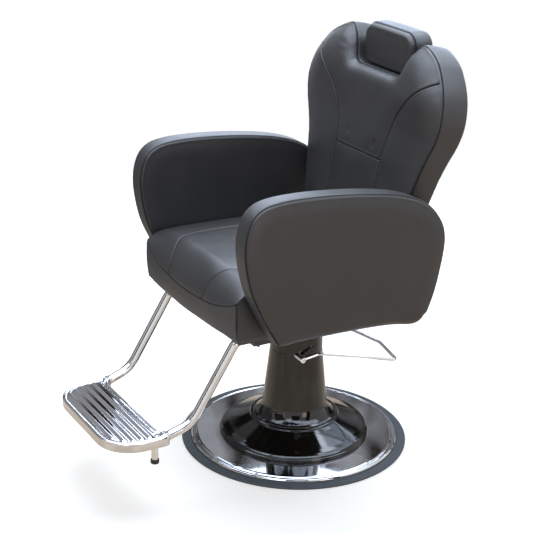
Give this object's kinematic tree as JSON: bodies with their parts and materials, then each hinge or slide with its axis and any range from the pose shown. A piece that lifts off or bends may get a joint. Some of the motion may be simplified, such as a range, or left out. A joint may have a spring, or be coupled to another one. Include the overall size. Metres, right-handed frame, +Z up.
{
  "type": "hydraulic barber chair",
  "caption": "Padded chair with arms, reclining notched back and sliding headrest on a hydraulic column with a round base, pump pedal and fixed footrest.",
  "frame": {"origin": "on the floor at the column's axis, at the centre of the base's underside", "axes": "+Z up; the sitter faces -Y, so the back leans towards +Y; +X is the sitter's left"},
  "size_m": [0.66, 0.9991, 1.1702],
  "materials": {
    "vinyl": "matt charcoal upholstery vinyl with a fine grain",
    "gloss_black": "polished near-black",
    "chrome": "mirror chrome",
    "steel": "satin black enamel on steel",
    "rubber": "matt slate rubber",
    "bronze": "turned bearing bronze",
    "plywood": "plain birch plywood"
  },
  "bodies": {
    "base": {"base_ring": "rubber", "floor_plate": "steel", "base_plate": "chrome", "bell_cover": "gloss_black", "column_cover": "gloss_black", "column_collar": "gloss_black", "pump_cylinder": "steel", "flange_bolts": "steel", "pump_head": "steel", "guide_bush": "bronze", "head_seal": "rubber", "ram_wiper": "rubber", "pivot_grommets": "rubber"},
    "pedal": {"pedal_shaft": "chrome", "pedal_rod": "chrome", "pump_rocker": "steel"},
    "ram": {"ram": "chrome", "thrust_bearing": "bronze", "spindle_nut": "steel"},
    "seat": {"swivel_plate": "steel", "plate_bolts": "steel", "frame_rails": "steel", "frame_crossbars": "steel", "seat_board": "plywood", "board_screws": "steel", "seat_cushion": "vinyl", "left_arm": "vinyl", "right_arm": "vinyl", "arm_brackets": "steel", "bracket_screws": "steel", "left_foot_tube": "chrome", "right_foot_tube": "chrome", "foot_sockets": "steel", "foot_plate": "chrome", "foot_pegs": "chrome", "peg_tips": "rubber", "foot_screws": "steel", "hinge_brackets": "steel", "hinge_pins": "steel", "lever_bracket": "steel", "strut_mount": "steel", "strut_cylinder": "gloss_black"},
    "strut_rod": {"strut_rod": "chrome"},
    "recline_lever": {"recline_handle": "chrome", "recline_grip": "gloss_black"},
    "back": {"hinge_arms": "steel", "torsion_tube": "steel", "strut_crank": "steel", "crank_pin": "steel", "back_board": "plywood", "back_screws": "steel", "back_cushion": "vinyl", "back_rear_panel": "vinyl", "headrest_socket": "steel"},
    "headrest": {"headrest_bar": "chrome", "headrest_foot": "steel", "headrest_cushion": "vinyl"}
  },
  "joints": [
    {"name": "lift", "type": "slide", "parent": "base", "child": "ram", "axis": [0, 0, 1], "range_m": [0, 0.15]},
    {"name": "swivel", "type": "hinge", "parent": "ram", "child": "seat", "pos_m": [0, 0, 0.39], "axis": [0, 0, 1], "continuous": true},
    {"name": "pump_pedal", "type": "hinge", "parent": "base", "child": "pedal", "pos_m": [0, -0.036, 0.283], "axis": [1, 0, 0], "range_deg": [-20, 0], "stiffness_Nm_per_rad": 40, "springref_deg": 6.88},
    {"name": "recline", "type": "hinge", "parent": "seat", "child": "back", "pos_m": [0, 0.165, 0.48], "axis": [-1, 0, 0], "range_deg": [0, 40]},
    {"name": "strut_slide", "type": "slide", "parent": "seat", "child": "strut_rod", "axis": [0, 1, 0], "range_m": [-0.0447, 0]},
    {"name": "recline_lever", "type": "hinge", "parent": "seat", "child": "recline_lever", "pos_m": [-0.2, 0.03, 0.415], "axis": [-1, 0, 0], "range_deg": [0, 15], "stiffness_Nm_per_rad": 6, "springref_deg": -8.59},
    {"name": "headrest_slide", "type": "slide", "parent": "back", "child": "headrest", "axis": [0, 0.2198, 0.9755], "range_m": [0, 0.09]}
  ],
  "couplings": [
    {"joint": "strut_slide", "follows": "recline", "m_per_rad": -0.06369}
  ]
}
